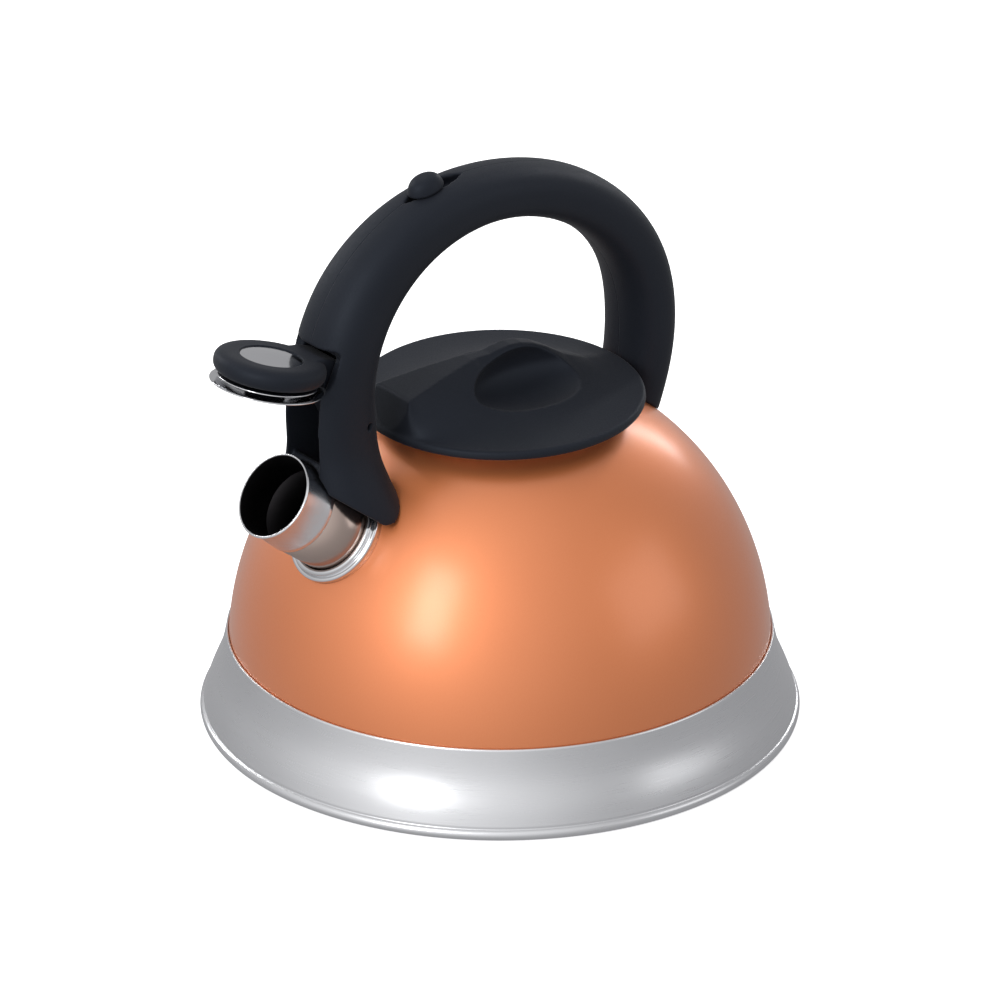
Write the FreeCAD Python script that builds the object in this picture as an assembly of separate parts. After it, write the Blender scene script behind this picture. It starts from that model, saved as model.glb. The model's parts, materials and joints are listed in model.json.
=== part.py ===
import FreeCAD, Part
import math
import os

# Stovetop whistling kettle, in millimetres.
# +Z is up and the spout points towards -X. The origin is the centre of the base, on the resting plane.
# In the outlines below, "forward" is the distance from the kettle's axis towards the spout, which is -X.

os.makedirs("parts", exist_ok=True)

# ---- driving dimensions ----
SHEET = 0.8                     # steel sheet of the body
BASE_RADIUS = 110.0             # outside of the rolled bead at the foot
BEAD_TUBE = 2.2
DOME_RADIUS = 99.4
DOME_HEIGHT = 106.0             # of the half ellipsoid above its centre
DOME_CENTRE_Z = 25.6
SKIRT_TOP_Z = 32.3
SKIRT_LAP = 7.0                 # dome wall that is hidden inside the skirt
NECK_RADIUS = 43.2
NECK_TOP_Z = 124.2
CAP_RADIUS = 91.0               # of the steel cap under the base
SPREADER_TOP_Z = 4.2            # underside of the pan

SPOUT_TILT = 38.0               # degrees above the horizontal
SPOUT_RADIUS = 16.3
SPOUT_WALL = 0.7
MOUTH = (103.2, 116.1)          # centre of the spout's mouth, forward and up
SPOUT_LENGTH = 35.1             # along the axis, from the dome to the mouth
COLLAR_RADIUS = 20.4

LID_RADIUS = 53.0
LID_RIM_Z = 124.5
LID_GAP = 0.6                   # between the lid's rim and the rear leg
LID_TRAVEL = 22.0
PLATE_RADIUS = 41.4             # of the dish under the lid
LID_PLATE_Z = 117.0
FLANGE_Z = NECK_TOP_Z + 0.1
LID_SHEET = 0.7
POST_RADIUS = 5.0               # of the lid's middle post, which the screw pulls on

FLAP_PIVOT = (70.6, 139.2)
FLAP_CENTRE = (105.8, 160.3)    # centre of the lower whistle plate with the flap open
FLAP_NORMAL = 102.5             # degrees, direction of the flap's upper side with the flap open
FLAP_RADIUS = 20.8
FLAP_SWING = 64.5
CAP_LOW = 3.6                   # of the flap's cap, above the lower whistle plate
CAP_TOP = 11.4
INSERT_RADIUS = 11.6
PIN_RADIUS = 1.5
HINGE_PIN_HALF = 11.8
CRANK_RADIUS = 3.4
CRANK_PIN_RADIUS = 0.8
RUNNING_GAP = 0.06
CRANK_PLAY = 0.83               # how far the crank pin moves back in the hook half way through the swing

TRIGGER_CENTRE = (6.0, 148.8)   # centre that the link strip slides round
LINK_RADIUS = 61.4
LINK_THICK = 1.4
LINK_WIDTH = 2.4
HOOK_BACK = 2.9                 # of the strip's hook, measured from the crank pin
HOOK_TIP = 0.7
HOOK_HALF = 2.0
SLOT_LEAD = 2.9                 # from the knob back to the middle of its slot
KNOB_SEAT = (33.7, 217.2)       # on top of the handle, under the knob with the flap open
KNOB_TILT = 77.0                # degrees, direction of the knob's upper side
KNOB_RISE = 5.6

SADDLE_HEIGHT = 9.8             # lower edge of the front foot above the spout's axis
SLOT_HALF = 9.25                # half the width of the front leg's slot
SLOT_TOP_Z = 168.0
SLOT_FLOOR = 1.8                # thickness of the slot's floor over the spout
SLOT_BACK = 64.6
FLOOR_END = -7.0                # front edge of the slot's floor, along the spout from its mouth
RELIEF_HALF = 12.5              # of the room for the flap's round
RELIEF_RADIUS = 23.4
HANDLE_WALL = 3.0
SECTION_POWER = 2.4             # of the handle's superelliptic section
HANDLE_SECTIONS = 27
HANDLE_SCREWS = [(64.25, 191.12), (-15.8, 203.6), (-61.0, 157.0)]
SCREW_RADIUS = 1.4
HEAD_RADIUS = 2.8
HEAD_SEAT = 8.0                 # where the screws' heads sit, measured along Y
BOSS_RADIUS = 4.0
FRONT_SCREW = (66.4, 117.0)     # through the leg's inner wall and the front bracket
REAR_SCREW = (-62.0, 116.5)
FOOT_SCREW_RADIUS = 1.5
FOOT_HEAD_RADIUS = 2.9
TAB_THICK = 1.6                 # of both brackets
TAB_HALF = 6.0
TAB_LOW_Z = 95.0

# Handle stations from the front foot over the top to the rear foot:
# inner point, outer point (each forward and up), and full width.
HANDLE_STATIONS = [
    ((50.0, 96.0), (79.0, 84.0), 50.0),
    ((54.5, 107.0), (87.6, 102.5), 47.0),
    ((58.4, 117.0), (91.4, 117.5), 39.4),
    ((60.8, 126.0), (91.4, 128.0), 33.4),
    ((61.8, 136.0), (92.2, 139.5), 31.4),
    ((62.4, 152.0), (89.4, 160.5), 31.2),
    ((55.6, 173.0), (77.5, 189.0), 30.0),
    ((37.2, 191.0), (49.4, 212.2), 27.5),
    ((12.5, 198.4), (14.6, 219.2), 25.6),
    ((-12.2, 194.9), (-19.4, 213.6), 26.0),
    ((-35.2, 182.0), (-49.2, 197.4), 28.0),
    ((-51.0, 160.6), (-70.0, 168.6), 30.0),
    ((-55.0, 140.0), (-74.6, 141.0), 30.6),
    ((-53.8, 122.0), (-71.5, 119.0), 29.5),
    ((-48.0, 102.0), (-64.0, 96.0), 27.0),
]


def at(forward, up, side=0.0):
    return FreeCAD.Vector(-forward, side, up)


def save(shape, node):
    shape.exportStep("parts/" + node + ".step")


def line(a, b):
    return Part.LineSegment(FreeCAD.Vector(a[0], 0, a[1]), FreeCAD.Vector(b[0], 0, b[1])).toShape()


def spline(points):
    curve = Part.BSplineCurve()
    curve.interpolate([FreeCAD.Vector(r, 0, z) for r, z in points])
    return curve.toShape()


def turn(edges):
    """A solid of revolution about Z from edges given as radius and height."""
    face = Part.Face(Part.Wire(Part.__sortEdges__(edges)))
    return face.revolve(FreeCAD.Vector(0, 0, 0), FreeCAD.Vector(0, 0, 1), 360)


def turned(points):
    closed = points + points[:1]
    return turn([line(a, b) for a, b in zip(closed, closed[1:])])


def side_plate(points, low, high):
    """A plate from an outline of forward and up, between two places along Y."""
    ring = [at(f, u, low) for f, u in points]
    face = Part.Face(Part.makePolygon(ring + ring[:1]))
    return face.extrude(FreeCAD.Vector(0, high - low, 0))


def cross_pin(centre, radius, low, high):
    return Part.makeCylinder(radius, high - low, at(centre[0], centre[1], low), FreeCAD.Vector(0, 1, 0))


def block(forward, up, low, high, height):
    """A box from forward[0] to forward[1], up to up + height, between two places along Y."""
    corner = FreeCAD.Vector(-forward[1], low, up)
    return Part.makeBox(forward[1] - forward[0], high - low, height, corner)


def direction(degrees):
    angle = math.radians(degrees)
    return FreeCAD.Vector(-math.cos(angle), 0, math.sin(angle))


def tilted(shape, centre, degrees):
    """Stand a shape made about Z on a centre, with its Z turned to the given direction."""
    moved = shape.copy()
    moved.rotate(FreeCAD.Vector(0, 0, 0), FreeCAD.Vector(0, 1, 0), degrees - 90)
    moved.translate(at(centre[0], centre[1]))
    return moved


def on_spout(shape, distance=0.0):
    """Put a shape made about Z on the spout's axis, measured from the mouth outwards."""
    moved = tilted(shape, MOUTH, SPOUT_TILT)
    moved.translate(direction(SPOUT_TILT) * distance)
    return moved


def on_flap(shape, height=0.0):
    moved = tilted(shape, FLAP_CENTRE, FLAP_NORMAL)
    moved.translate(direction(FLAP_NORMAL) * height)
    return moved


def about(centre, radius, degrees):
    angle = math.radians(degrees)
    return (centre[0] + radius * math.cos(angle), centre[1] + radius * math.sin(angle))


def dome_solid(shrink):
    """The filled dome, smaller by the given amount all round, down to below the skirt's lap."""
    top = FreeCAD.Vector(0, 0, DOME_CENTRE_Z + DOME_HEIGHT - shrink)
    side = FreeCAD.Vector(DOME_RADIUS - shrink, 0, DOME_CENTRE_Z)
    ellipse = Part.Ellipse(top, side, FreeCAD.Vector(0, 0, DOME_CENTRE_Z))
    arc = Part.ArcOfEllipse(ellipse, 0, math.pi / 2).toShape()
    return turn([
        arc,
        line((DOME_RADIUS - shrink, DOME_CENTRE_Z), (DOME_RADIUS - shrink, 0)),
        line((DOME_RADIUS - shrink, 0), (0, 0)),
        line((0, 0), (0, top.z)),
    ])


DOME = dome_solid(0)
SPOUT_CORE = on_spout(Part.makeCylinder(SPOUT_RADIUS, 80), -60)


# ---- body ----
def make_body_shell():
    shell = DOME.cut(dome_solid(SHEET))
    shell = shell.cut(Part.makeCylinder(DOME_RADIUS + 1, SKIRT_TOP_Z - SKIRT_LAP))
    shell = shell.cut(Part.makeCylinder(NECK_RADIUS, 200))
    return shell.cut(on_spout(Part.makeCylinder(SPOUT_RADIUS, 80), -60))


def skirt_line(inset):
    return [
        (DOME_RADIUS + SHEET - inset, SKIRT_TOP_Z),
        (102.9 - inset, 20.5),
        (106.9 - inset, 10.5),
        (108.6 - inset, 5.0),
    ]


def make_base_skirt():
    """The flared band, with its lower edge rolled into the bead that the kettle stands in."""
    outer = skirt_line(0)
    inner = skirt_line(SHEET)
    bead = (BASE_RADIUS - BEAD_TUBE, BEAD_TUBE + 0.1)
    start, middle, end = [about(bead, BEAD_TUBE, angle) for angle in (70, -85, 120)]
    roll = Part.Arc(*[FreeCAD.Vector(r, 0, z) for r, z in (start, middle, end)]).toShape()
    return turn([
        line(inner[0], outer[0]),
        spline(outer),
        line(outer[-1], start),
        roll,
        line(end, inner[-1]),
        spline(inner),
    ])


def make_base_pan():
    bead = (BASE_RADIUS - BEAD_TUBE, BEAD_TUBE + 0.1)
    edge = about(bead, BEAD_TUBE, 120)
    corner = skirt_line(SHEET)[-1]
    return turned([(0, edge[1]), edge, corner, (0, corner[1])])


def make_heat_spreader():
    height = SPREADER_TOP_Z - SHEET
    return Part.makeCylinder(CAP_RADIUS - SHEET, height, FreeCAD.Vector(0, 0, SHEET))


def make_base_cap():
    return Part.makeCylinder(CAP_RADIUS, SPREADER_TOP_Z).cut(make_heat_spreader())


def make_filler_neck():
    wall_bottom = 113.0
    wall = turned([
        (NECK_RADIUS - SHEET, wall_bottom),
        (NECK_RADIUS, wall_bottom),
        (NECK_RADIUS, NECK_TOP_Z - 0.6),
        (NECK_RADIUS - SHEET, NECK_TOP_Z - 0.6),
    ])
    lip = Part.makeTorus(NECK_RADIUS - SHEET / 2, 0.6, FreeCAD.Vector(0, 0, NECK_TOP_Z - 0.6))
    return wall.fuse(lip)


def make_spout_tube():
    inside_dome = 4.0
    length = SPOUT_LENGTH + inside_dome
    rim = 0.75
    tube = Part.makeCylinder(SPOUT_RADIUS, length, FreeCAD.Vector(0, 0, -length))
    tube = tube.fuse(Part.makeTorus(SPOUT_RADIUS, rim, FreeCAD.Vector(0, 0, -rim)))
    bore = Part.makeCylinder(SPOUT_RADIUS - SPOUT_WALL, length + 2, FreeCAD.Vector(0, 0, -length - 1))
    return on_spout(tube.cut(bore))


def make_spout_collar():
    skirt_depth = 4.0
    outer_ring = 0.9
    inner_ring = 2.6
    collar = turned([
        (SPOUT_RADIUS, -skirt_depth),
        (COLLAR_RADIUS, -skirt_depth),
        (COLLAR_RADIUS, outer_ring - 0.6),
        (COLLAR_RADIUS - 0.6, outer_ring),
        (COLLAR_RADIUS - 1.4, outer_ring),
        (COLLAR_RADIUS - 2.0, outer_ring - 0.7),
        (SPOUT_RADIUS + 1.6, inner_ring - 0.6),
        (SPOUT_RADIUS + 1.0, inner_ring),
        (SPOUT_RADIUS, inner_ring),
    ])
    return on_spout(collar, -SPOUT_LENGTH).cut(DOME)


# ---- handle ----
def superellipse(half_a, half_b, centre, axis):
    """A closed section: half_a along the axis in the handle's plane, half_b along Y."""
    points = []
    count = 24
    for i in range(count):
        angle = 2 * math.pi * i / count
        c = math.cos(angle)
        s = math.sin(angle)
        a = half_a * math.copysign(abs(c) ** (2 / SECTION_POWER), c)
        b = half_b * math.copysign(abs(s) ** (2 / SECTION_POWER), s)
        points.append(centre + axis * a + FreeCAD.Vector(0, b, 0))
    curve = Part.BSplineCurve()
    curve.interpolate(points, True)
    return Part.Wire(curve.toShape())


def handle_sections():
    """Evenly spaced sections between the handle's stations, as inner point, outer point and width."""
    lengths = [0.0]
    for before, after in zip(HANDLE_STATIONS, HANDLE_STATIONS[1:]):
        step = (at(*after[0]) + at(*after[1]) - at(*before[0]) - at(*before[1])).Length / 2
        lengths.append(lengths[-1] + step)
    inner = Part.BSplineCurve()
    inner.interpolate(Points=[at(*s[0], s[2]) for s in HANDLE_STATIONS], Parameters=lengths)
    outer = Part.BSplineCurve()
    outer.interpolate(Points=[at(*s[1]) for s in HANDLE_STATIONS], Parameters=lengths)
    sections = []
    for i in range(HANDLE_SECTIONS + 1):
        place = lengths[-1] * i / HANDLE_SECTIONS
        low = inner.value(place)
        width = low.y
        low.y = 0.0
        sections.append((low, outer.value(place), width))
    return sections


def handle_loft(inset):
    wires = []
    for low, high, width in handle_sections():
        across = high - low
        half = across.Length / 2 - inset
        axis = across.normalize()
        wires.append(superellipse(half, width / 2 - inset, (low + high) * 0.5, axis))
    return Part.makeLoft(wires, True, False)


def slot_cut():
    """The open slot in the front leg, down to a thin floor over the spout."""
    base = direction(SPOUT_TILT)
    rise = FreeCAD.Vector(base.z, 0, -base.x)
    start = at(*MOUTH) + rise * (SPOUT_RADIUS + SLOT_FLOOR)
    front = start + base * 30
    meet = start - base * ((-start.x - SLOT_BACK) / math.cos(math.radians(SPOUT_TILT)))
    outline = [(-meet.x, meet.z), (-front.x, front.z), (130.0, SLOT_TOP_Z), (74.0, SLOT_TOP_Z)]
    outline.append((SLOT_BACK, 152.0))
    return side_plate(outline, -SLOT_HALF, SLOT_HALF)


def flap_relief():
    """Room for the round of the flap in front of the leg's cheeks, over its whole swing."""
    arc = [about(FLAP_PIVOT, RELIEF_RADIUS, a) for a in range(-28, 45, 6)]
    outline = arc + [(81.4, SLOT_TOP_Z), (82.4, SLOT_TOP_Z + 2.6), (120.0, SLOT_TOP_Z + 2.6), (120.0, 110.0)]
    return side_plate(outline, -RELIEF_HALF, RELIEF_HALF)


def link_channel():
    """Room for the link strip between the knob and the flap's crank."""
    low = 8.0
    ring = Part.makeCylinder(LINK_RADIUS + 3, low, at(*TRIGGER_CENTRE, -low / 2), FreeCAD.Vector(0, 1, 0))
    ring = ring.cut(Part.makeCylinder(LINK_RADIUS - 1.6, low, at(*TRIGGER_CENTRE, -low / 2),
                                      FreeCAD.Vector(0, 1, 0)))
    wedge = [TRIGGER_CENTRE] + [about(TRIGGER_CENTRE, 100, a) for a in (-13, 20, 50, 80)]
    return ring.common(side_plate(wedge, -low, low))


def knob_slot():
    """The boat-shaped slot that the knob slides in."""
    half_length = 13.2
    half_width = 3.6
    tips = [FreeCAD.Vector(side * half_length, 0, 0) for side in (-1, 1)]
    arcs = [Part.Arc(tips[0], FreeCAD.Vector(0, side * half_width, 0), tips[1]).toShape() for side in (-1, 1)]
    face = Part.Face(Part.Wire(Part.__sortEdges__(arcs)))
    cutter = face.extrude(FreeCAD.Vector(0, 0, 20))
    cutter.translate(FreeCAD.Vector(SLOT_LEAD, 0, -10))
    return tilted(cutter, KNOB_SEAT, KNOB_TILT)


def lid_relief():
    """Room for the lid's rim inside the rear leg, as high as the lid is lifted."""
    radius = LID_RADIUS + LID_GAP
    top = LID_RIM_Z + 3.6 + LID_TRAVEL + 1
    return turned([(0, 100), (radius, 100), (radius, top), (radius - 14, top + 18), (0, top + 18)])


def screw_boss(centre):
    return cross_pin(centre, BOSS_RADIUS, -12.5, 12.5)


def make_handle():
    body = handle_loft(0)
    hollow = handle_loft(HANDLE_WALL)
    hollow = hollow.cut(Part.makeBox(240, 80, 92, FreeCAD.Vector(-120, -40, 40)))
    body = body.cut(hollow)
    for centre in HANDLE_SCREWS:
        body = body.fuse(screw_boss(centre).common(handle_loft(HANDLE_WALL / 2)))
    body = body.cut(slot_cut()).cut(flap_relief()).cut(link_channel()).cut(knob_slot())
    body = body.cut(SPOUT_CORE)
    body = body.cut(on_spout(Part.makeCylinder(COLLAR_RADIUS + 0.2, 8), -SPOUT_LENGTH - 5))
    body = body.cut(on_spout(Part.makeBox(20, 2 * SLOT_HALF, 30, FreeCAD.Vector(0, -SLOT_HALF, FLOOR_END))))
    below = Part.makeBox(60, 80, 100, FreeCAD.Vector(SADDLE_HEIGHT - 60, -40, -90))
    body = body.cut(on_spout(below))
    body = body.cut(DOME)
    body = body.cut(lid_relief())
    for centre in HANDLE_SCREWS:
        body = body.cut(cross_pin(centre, SCREW_RADIUS, -9, 30))
        body = body.cut(cross_pin(centre, HEAD_RADIUS + 0.2, HEAD_SEAT, 30))
    body = body.cut(cross_pin(FLAP_PIVOT, PIN_RADIUS, -30, 30))
    for tab in (front_tab(0.1), rear_tab(0.1)):
        body = body.cut(tab)
    for screw in (foot_screw_hole(FRONT_SCREW, 1), foot_screw_hole(REAR_SCREW, -1)):
        body = body.cut(screw)
    return body


# ---- brackets and screws ----
def front_tab(gap):
    return block((FRONT_SCREW[0] - gap, FRONT_SCREW[0] + TAB_THICK + gap), TAB_LOW_Z, -TAB_HALF - gap,
                 TAB_HALF + gap, 27 + gap)


def rear_tab(gap):
    return block((REAR_SCREW[0] - TAB_THICK - gap, REAR_SCREW[0] + gap), TAB_LOW_Z, -TAB_HALF - gap,
                 TAB_HALF + gap, 29 + gap)


def foot_screw(centre, towards):
    """A pan-head screw along X, its head on the inside of the leg."""
    axis = FreeCAD.Vector(-towards, 0, 0)
    length = 6.0
    start = at(centre[0] - towards * (length - 1.5), centre[1])
    shank = Part.makeCylinder(FOOT_SCREW_RADIUS, length, start, axis)
    head = Part.makeCylinder(FOOT_HEAD_RADIUS, 1.6, start - axis * 1.6, axis)
    return shank.fuse(head)


def foot_screw_hole(centre, towards):
    axis = FreeCAD.Vector(-towards, 0, 0)
    start = at(centre[0] - towards * 14, centre[1])
    shank = Part.makeCylinder(FOOT_SCREW_RADIUS, 20, start, axis)
    head = Part.makeCylinder(FOOT_HEAD_RADIUS + 0.2, 9.5, start, axis)
    return shank.fuse(head)


def make_front_bracket():
    collar_room = on_spout(Part.makeCylinder(COLLAR_RADIUS + 0.2, 8), -SPOUT_LENGTH - 5)
    tab = front_tab(0).cut(DOME).cut(SPOUT_CORE).cut(collar_room)
    return tab.cut(foot_screw(FRONT_SCREW, 1))


def make_rear_bracket():
    return rear_tab(0).cut(DOME).cut(foot_screw(REAR_SCREW, -1))


def make_handle_screws():
    screws = []
    for centre in HANDLE_SCREWS:
        shank = cross_pin(centre, SCREW_RADIUS, -8.5, HEAD_SEAT)
        head = cross_pin(centre, HEAD_RADIUS, HEAD_SEAT, HEAD_SEAT + 1.8)
        screws.append(shank.fuse(head))
    return Part.makeCompound(screws)


# ---- lid ----
def make_lid_cap():
    crown = turn([
        line((0, LID_RIM_Z), (LID_RADIUS - 0.6, LID_RIM_Z)),
        line((LID_RADIUS - 0.6, LID_RIM_Z), (LID_RADIUS, LID_RIM_Z + 0.8)),
        line((LID_RADIUS, LID_RIM_Z + 0.8), (LID_RADIUS - 0.8, LID_RIM_Z + 3.6)),
        spline([(LID_RADIUS - 0.8, LID_RIM_Z + 3.6), (40, 129.6), (26, 134.5), (12, 140.5), (0, 141.5)]),
        line((0, 141.5), (0, LID_RIM_Z)),
    ])
    ridge = side_plate([
        (-40, 128), (-28, 135), (-12, 143.6), (0, 146.2), (12, 147), (48.3, 141.3), (51.8, 129), (48, 126),
        (-36, 126),
    ], -9.5, 9.5)
    crown = crown.fuse(ridge)
    for side in (-1, 1):
        scoop = Part.makeSphere(17.0, at(-6, 153, side * 20))
        crown = crown.cut(scoop)
    hollow = turn([
        line((0, LID_RIM_Z - 1), (47, LID_RIM_Z - 1)),
        line((47, LID_RIM_Z - 1), (47, LID_RIM_Z + 1.5)),
        line((47, LID_RIM_Z + 1.5), (0, LID_RIM_Z + 6)),
        line((0, LID_RIM_Z + 6), (0, LID_RIM_Z - 1)),
    ])
    post_low = LID_PLATE_Z + LID_SHEET
    post = Part.makeCylinder(POST_RADIUS, LID_RIM_Z + 8 - post_low, FreeCAD.Vector(0, 0, post_low))
    return crown.cut(hollow).fuse(post).cut(lid_screw_shape())


def lid_screw_shape():
    base = LID_PLATE_Z
    shank = Part.makeCylinder(1.8, 14, FreeCAD.Vector(0, 0, base))
    head = Part.makeCylinder(3.6, 2.0, FreeCAD.Vector(0, 0, base - 2.0))
    return shank.fuse(head)


def make_lid_plate():
    """A pressed steel dish that drops into the filler neck and hangs on its flange."""
    inner = PLATE_RADIUS - LID_SHEET
    dish = turned([
        (0, LID_PLATE_Z),
        (PLATE_RADIUS, LID_PLATE_Z),
        (PLATE_RADIUS, FLANGE_Z),
        (46.5, FLANGE_Z),
        (46.5, FLANGE_Z + LID_SHEET),
        (inner, FLANGE_Z + LID_SHEET),
        (inner, LID_PLATE_Z + LID_SHEET),
        (0, LID_PLATE_Z + LID_SHEET),
    ])
    return dish.cut(lid_screw_shape())


def make_lid_gasket():
    return turned([(PLATE_RADIUS, 118.4), (PLATE_RADIUS + 0.7, 119.4), (PLATE_RADIUS + 0.7, 121.0),
                   (PLATE_RADIUS, 122.0)])


# ---- flap ----
def make_flap_cap():
    cap = Part.makeCylinder(FLAP_RADIUS - 0.3, CAP_TOP - CAP_LOW, FreeCAD.Vector(0, 0, CAP_LOW))
    rims = [e for e in cap.Edges if isinstance(e.Curve, Part.Circle)]
    cap = cap.makeFillet(3.4, rims)
    stem = Part.makeCylinder(7.0, CAP_LOW, FreeCAD.Vector(0, 0, 0.7))
    cap = on_flap(cap.fuse(stem))
    arm = side_plate([(92, 160.2), (91, 168.0), (80, 166.4), (73.5, 160), (65.4, 141.5), (66.5, 136.5),
                      (70, 134.0), (75.5, 136.2), (81.0, 148.0), (86.4, 156.6)], -8.5, 8.5)
    arm = arm.cut(side_plate([(60, 130), (75, 130), (75, 150), (60, 160)], -LINK_WIDTH / 2 - 0.4,
                             LINK_WIDTH / 2 + 0.4))
    arm = arm.cut(on_flap(Part.makeCylinder(FLAP_RADIUS + 0.2, CAP_LOW + 1.0, FreeCAD.Vector(0, 0, -1.5))))
    hub = cross_pin(FLAP_PIVOT, 5.4, -8.5, 8.5)
    fork = cross_pin(FLAP_PIVOT, 7.5, -LINK_WIDTH / 2 - 0.4, LINK_WIDTH / 2 + 0.4)
    flap = cap.fuse(arm).fuse(hub.cut(fork))
    flap = flap.cut(cross_pin(FLAP_PIVOT, PIN_RADIUS + RUNNING_GAP, -20, 20))
    flap = flap.cut(cross_pin(crank_place(), CRANK_PIN_RADIUS, -20, 20))
    flap = flap.cut(on_flap(insert_shape()))
    return flap.cut(on_flap(Part.makeCylinder(1.2, 8, FreeCAD.Vector(0, 0, -1))))


def crank_place():
    return about(FLAP_PIVOT, CRANK_RADIUS, 180 + FLAP_SWING / 2)


def insert_shape():
    ball_radius = 60.0
    rise = CAP_TOP + 0.6 - ball_radius
    ball = Part.makeSphere(ball_radius, FreeCAD.Vector(0, 0, rise))
    return Part.makeCylinder(INSERT_RADIUS, 6, FreeCAD.Vector(0, 0, CAP_TOP - 1.2)).common(ball)


def whistle_plate(radius, low, sheet):
    plate = Part.makeCylinder(radius, sheet, FreeCAD.Vector(0, 0, low))
    return plate.cut(Part.makeCylinder(1.2, 4, FreeCAD.Vector(0, 0, low - 1)))


def make_whistle_plate_lower():
    plate = whistle_plate(FLAP_RADIUS, 0.0, 0.7)
    seat = turned([(11.0, -1.0), (14.6, -1.0), (15.2, 0), (10.4, 0)])
    return on_flap(plate.fuse(seat))


def make_whistle_plate_upper():
    ring = whistle_plate(FLAP_RADIUS - 2.2, 2.2, 0.6)
    ring = ring.cut(Part.makeCylinder(7.0, 6))
    return on_flap(ring)


def make_crank_pin():
    return cross_pin(crank_place(), CRANK_PIN_RADIUS, -6.0, 6.0)


# ---- trigger ----
def make_link_strip():
    """A spring-steel strip round the inside of the handle, with a hook on the crank pin."""
    low = -LINK_WIDTH / 2
    axis = FreeCAD.Vector(0, 1, 0)
    centre = at(*TRIGGER_CENTRE, low)
    ring = Part.makeCylinder(LINK_RADIUS + LINK_THICK / 2, LINK_WIDTH, centre, axis)
    ring = ring.cut(Part.makeCylinder(LINK_RADIUS - LINK_THICK / 2, LINK_WIDTH, centre, axis))
    crank = crank_place()
    low_angle = math.degrees(math.atan2(crank[1] - TRIGGER_CENTRE[1], crank[0] - TRIGGER_CENTRE[0]))
    wedge = [TRIGGER_CENTRE] + [about(TRIGGER_CENTRE, 100, a) for a in (low_angle, 10, 30, 50, 70)]
    strip = ring.common(side_plate(wedge, low, -low))
    hook = block((crank[0] - HOOK_BACK, crank[0] + HOOK_TIP), crank[1] - HOOK_HALF, low, -low, 2 * HOOK_HALF)
    pin_room = CRANK_PIN_RADIUS + 0.1
    reach = (crank[0] - CRANK_PLAY - pin_room, crank[0] + 3)
    mouth = block(reach, crank[1] - pin_room, low, -low, 2 * pin_room)
    return strip.fuse(hook).cut(mouth).removeSplitter()


def make_thumb_button():
    """The pebble-shaped knob, its neck through the slot and the foot that holds the strip."""
    long_half = 7.4
    wide_half = 5.6
    thick_half = 3.4
    knob = Part.makeSphere(1.0)
    stretch = FreeCAD.Matrix()
    stretch.scale(long_half, wide_half, thick_half)
    knob = knob.transformGeometry(stretch)
    knob.translate(FreeCAD.Vector(0, 0, KNOB_RISE - thick_half))
    knob = knob.cut(Part.makeBox(40, 40, 20, FreeCAD.Vector(-20, -20, -19.5)))
    neck = Part.makeBox(7.0, 4.0, 9.0, FreeCAD.Vector(-3.5, -2.0, -7.0))
    top = tilted(knob.fuse(neck), KNOB_SEAT, KNOB_TILT)
    foot_place = math.degrees(math.atan2(KNOB_SEAT[1] - TRIGGER_CENTRE[1], KNOB_SEAT[0] - TRIGGER_CENTRE[0]))
    foot = Part.makeBox(8.0, 4.0, 5.0, FreeCAD.Vector(-4.0, -2.0, LINK_RADIUS + LINK_THICK / 2))
    return top.fuse(tilted(foot, TRIGGER_CENTRE, foot_place)).removeSplitter()


def half(shape, side):
    """The moulding on one side of the handle's middle plane, without the offcuts of the foot."""
    low = 0.0 if side > 0 else -60.0
    piece = shape.common(Part.makeBox(300, 60, 300, FreeCAD.Vector(-150, low, 0)))
    return max(piece.Solids, key=lambda solid: solid.Volume)


def main():
    handle = make_handle()
    nodes = {
        "body_shell": make_body_shell(),
        "base_skirt": make_base_skirt(),
        "base_pan": make_base_pan(),
        "heat_spreader": make_heat_spreader(),
        "base_cap": make_base_cap(),
        "filler_neck": make_filler_neck(),
        "spout_tube": make_spout_tube(),
        "spout_collar": make_spout_collar(),
        "front_bracket": make_front_bracket(),
        "rear_bracket": make_rear_bracket(),
        "front_foot_screw": foot_screw(FRONT_SCREW, 1),
        "rear_foot_screw": foot_screw(REAR_SCREW, -1),
        "handle_near_half": half(handle, -1),
        "handle_far_half": half(handle, 1),
        "handle_screws": make_handle_screws(),
        "hinge_pin": cross_pin(FLAP_PIVOT, PIN_RADIUS, -HINGE_PIN_HALF, HINGE_PIN_HALF),
        "lid_cap": make_lid_cap(),
        "lid_plate": make_lid_plate(),
        "lid_gasket": make_lid_gasket(),
        "lid_screw": lid_screw_shape(),
        "flap_cap": make_flap_cap(),
        "flap_insert": on_flap(insert_shape()),
        "whistle_plate_lower": make_whistle_plate_lower(),
        "whistle_plate_upper": make_whistle_plate_upper(),
        "crank_pin": make_crank_pin(),
        "link_strip": make_link_strip(),
        "thumb_button": make_thumb_button(),
    }
    for name, shape in nodes.items():
        save(shape, name)


main()
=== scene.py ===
import json
import math

import bmesh
import bpy
import numpy as np
from mathutils import Matrix, Vector


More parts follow.
